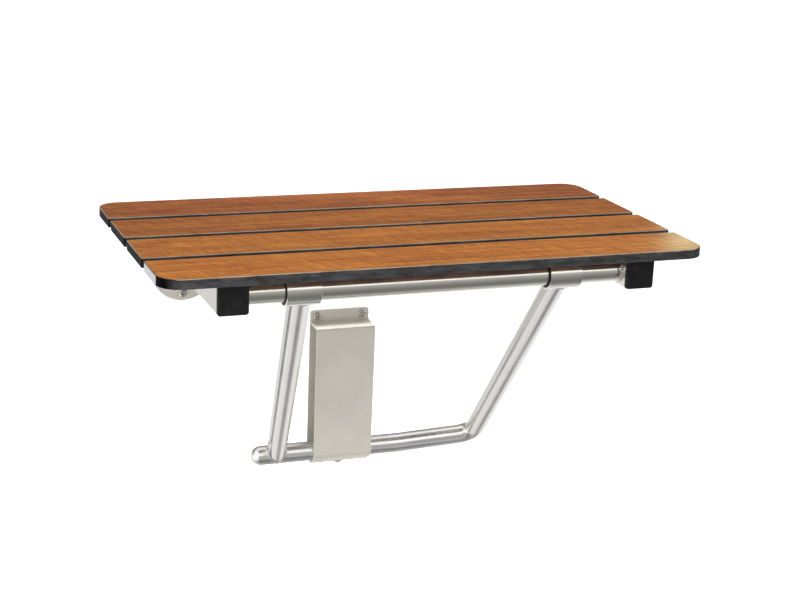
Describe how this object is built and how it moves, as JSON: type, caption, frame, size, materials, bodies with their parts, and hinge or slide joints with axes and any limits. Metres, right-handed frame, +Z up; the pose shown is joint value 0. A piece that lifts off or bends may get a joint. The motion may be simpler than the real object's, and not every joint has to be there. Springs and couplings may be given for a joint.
{
  "type": "folding wall-mounted shower seat",
  "caption": "Fold-up shower seat: teak-pattern slats on a stainless frame, hinged on wall flanges, with a drop leg riding in a wall guide.",
  "frame": {"origin": "on the wall plane at the back of the guide's plate, level with the plate's middle and under the seat's middle", "axes": "+X along the wall to the right as seen from the room, +Y into the wall, +Z up"},
  "size_m": [0.7112, 0.4157, 0.4131],
  "materials": {
    "teak_phenolic": "satin teak pattern",
    "brushed_stainless": "satin brushed",
    "bright_steel": "bright",
    "black_plastic": "fine texture"
  },
  "bodies": {
    "wall": {"flange_screw_left_1": "bright_steel", "flange_screw_left_2": "bright_steel", "flange_screw_left_3": "bright_steel", "flange_screw_right_1": "bright_steel", "flange_screw_right_2": "bright_steel", "flange_screw_right_3": "bright_steel", "guide_back_plate": "brushed_stainless", "guide_bracket": "brushed_stainless", "guide_clamp_screw": "bright_steel", "guide_clamp_washer": "bright_steel", "guide_screw_lower_left": "bright_steel", "guide_screw_lower_right": "bright_steel", "guide_screw_upper_left": "bright_steel", "guide_screw_upper_right": "bright_steel", "hinge_bolt_left": "bright_steel", "hinge_bolt_right": "bright_steel", "hinge_flange_left": "brushed_stainless", "hinge_flange_right": "brushed_stainless", "hinge_lug_left": "brushed_stainless", "hinge_lug_right": "brushed_stainless", "hinge_nut_left": "bright_steel", "hinge_nut_right": "bright_steel", "hinge_washer_inner_left": "black_plastic", "hinge_washer_inner_right": "black_plastic", "hinge_washer_outer_left": "bright_steel", "hinge_washer_outer_right": "bright_steel"},
    "seat": {"front_cap_left": "black_plastic", "front_cap_right": "black_plastic", "front_cross_tube": "brushed_stainless", "rear_cap_left": "black_plastic", "rear_cap_right": "black_plastic", "slat_front": "teak_phenolic", "slat_mid_front": "teak_phenolic", "slat_mid_rear": "teak_phenolic", "slat_rear": "teak_phenolic", "slat_screw_left_1a": "bright_steel", "slat_screw_left_1b": "bright_steel", "slat_screw_left_2a": "bright_steel", "slat_screw_left_2b": "bright_steel", "slat_screw_left_3a": "bright_steel", "slat_screw_left_3b": "bright_steel", "slat_screw_left_4a": "bright_steel", "slat_screw_left_4b": "bright_steel", "slat_screw_right_1a": "bright_steel", "slat_screw_right_1b": "bright_steel", "slat_screw_right_2a": "bright_steel", "slat_screw_right_2b": "bright_steel", "slat_screw_right_3a": "bright_steel", "slat_screw_right_3b": "bright_steel", "slat_screw_right_4a": "bright_steel", "slat_screw_right_4b": "bright_steel", "square_tube_left": "brushed_stainless", "square_tube_right": "brushed_stainless"},
    "bar": {"leg_bar": "brushed_stainless"},
    "leg": {"leg_left": "brushed_stainless", "leg_right": "brushed_stainless", "leg_sleeve_left": "brushed_stainless", "leg_sleeve_right": "brushed_stainless", "sleeve_bushing_left": "black_plastic", "sleeve_bushing_right": "black_plastic"}
  },
  "joints": [
    {"name": "seat_fold", "type": "hinge", "parent": "wall", "child": "seat", "pos_m": [0, -0.05, 0.25195], "axis": [-1, 0, 0], "range_deg": [0, 83]},
    {"name": "leg_turn", "type": "hinge", "parent": "seat", "child": "leg", "pos_m": [0, -0.3776, 0.25995], "axis": [1, 0, 0], "range_deg": [0, 45]},
    {"name": "bar_lift", "type": "slide", "parent": "wall", "child": "bar", "axis": [0, 0, 1], "range_m": [0, 0.1727]}
  ],
  "couplings": [
    {"joint": "leg_turn", "follows": "seat_fold", "ratio": 0.54216},
    {"joint": "bar_lift", "follows": "seat_fold", "m_per_rad": 0.11921}
  ]
}
